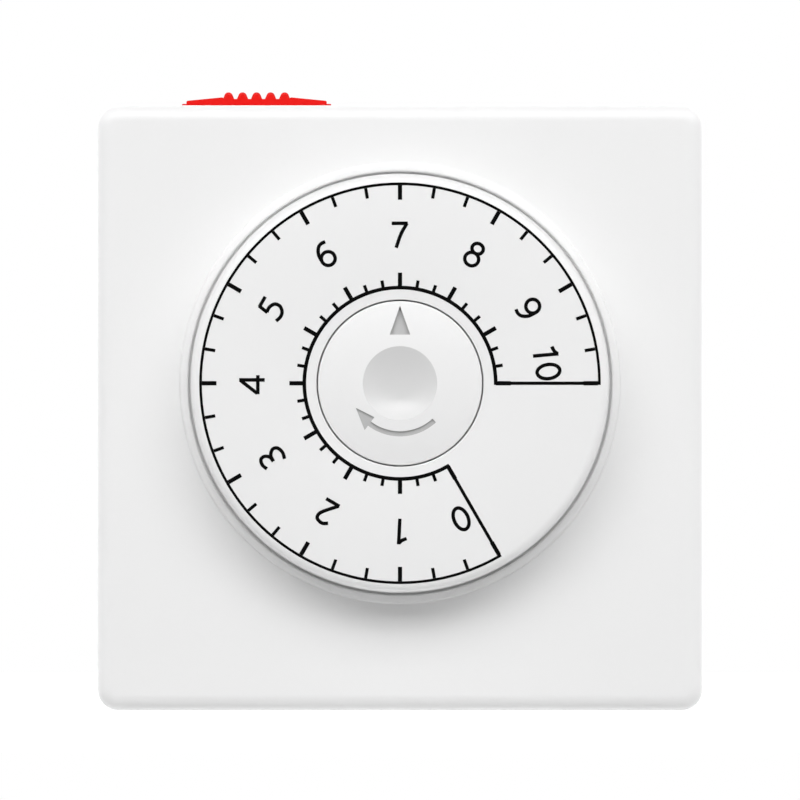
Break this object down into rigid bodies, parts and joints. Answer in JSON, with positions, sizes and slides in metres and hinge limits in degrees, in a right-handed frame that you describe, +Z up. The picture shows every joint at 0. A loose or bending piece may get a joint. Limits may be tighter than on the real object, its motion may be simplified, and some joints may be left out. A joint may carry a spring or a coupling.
{
  "type": "countdown timer socket",
  "caption": "Square plug-in countdown timer with a large turning hour dial, a ridged slide switch on the top edge and a socket in the bottom edge.",
  "frame": {"origin": "centre of the plug pin pattern on the back face, on the axis of the dial", "axes": "+Y out of the back face into the wall, +Z up, +X to the right seen from the front"},
  "size_m": [0.086, 0.0687, 0.088],
  "materials": {
    "case_plastic": "satin moulded",
    "dial_plastic": "satin moulded",
    "slider_plastic": "satin moulded",
    "gear_plastic": "natural acetal",
    "inner_plastic": "moulded",
    "zinc_steel": "zinc plated",
    "contact_brass": "stamped",
    "pin_brass": "milled",
    "lead_brown": "insulation",
    "lead_blue": "insulation",
    "lead_green": "insulation",
    "lead_white": "insulation"
  },
  "bodies": {
    "case": {"front_cover": "case_plastic", "rear_cover": "case_plastic", "cover_screws": "zinc_steel", "dial_washer": "zinc_steel", "hub_stem": "gear_plastic", "dial_hub": "dial_plastic", "hub_screw": "zinc_steel", "chassis_plate": "zinc_steel", "chassis_screws": "zinc_steel", "idler_arbor": "zinc_steel", "motor_can": "zinc_steel", "motor_end_plate": "zinc_steel", "motor_screws": "zinc_steel", "switch_base": "inner_plastic", "lever_pin": "zinc_steel", "moving_contact": "contact_brass", "fixed_contact": "contact_brass", "line_pin": "pin_brass", "neutral_pin": "pin_brass", "earth_pin": "pin_brass", "pin_clamp": "inner_plastic", "clamp_screws": "zinc_steel", "outlet_face": "case_plastic", "outlet_block": "inner_plastic", "line_contact": "contact_brass", "neutral_contact": "contact_brass", "earth_contact": "contact_brass", "shutter_spring": "zinc_steel", "line_feed": "lead_brown", "line_switched": "lead_brown", "neutral_lead": "lead_blue", "earth_lead": "lead_green", "motor_leads": "lead_white"},
    "dial": {"timer_dial": "dial_plastic", "dial_gear": "gear_plastic"},
    "clutch": {"clutch_wheel": "gear_plastic", "clutch_pinion": "gear_plastic"},
    "motor_output": {"motor_pinion": "gear_plastic"},
    "override": {"override_slider": "slider_plastic", "override_cam": "inner_plastic"},
    "follower": {"switch_lever": "inner_plastic"},
    "shutter": {"outlet_shutter": "inner_plastic"}
  },
  "joints": [
    {"name": "dial_spin", "type": "hinge", "parent": "case", "child": "dial", "pos_m": [0, -0.04, 0], "axis": [0, 1, 0], "continuous": true},
    {"name": "clutch_spin", "type": "hinge", "parent": "case", "child": "clutch", "pos_m": [0.01454, -0.0325, 0.01733], "axis": [0, 1, 0], "continuous": true},
    {"name": "motor_output_spin", "type": "hinge", "parent": "case", "child": "motor_output", "pos_m": [0.02959, -0.0313, 0.01155], "axis": [0, 1, 0], "continuous": true},
    {"name": "override_slide", "type": "slide", "parent": "case", "child": "override", "axis": [1, 0, 0], "range_m": [0, 0.0045]},
    {"name": "follower_tilt", "type": "hinge", "parent": "case", "child": "follower", "pos_m": [-0.02, -0.0348, 0.0235], "axis": [0, -1, 0], "range_deg": [0, 3.2], "deforming": ["moving_contact"]},
    {"name": "shutter_slide", "type": "slide", "parent": "case", "child": "shutter", "axis": [1, 0, 0], "range_m": [0, 0.003], "stiffness_N_per_m": 60, "springref_m": -0.002, "deforming": ["shutter_spring"]}
  ],
  "couplings": [
    {"joint": "clutch_spin", "follows": "dial_spin", "ratio": -4},
    {"joint": "motor_output_spin", "follows": "dial_spin", "ratio": 12},
    {"joint": "follower_tilt", "follows": "override_slide", "rad_per_m": 12.401}
  ]
}
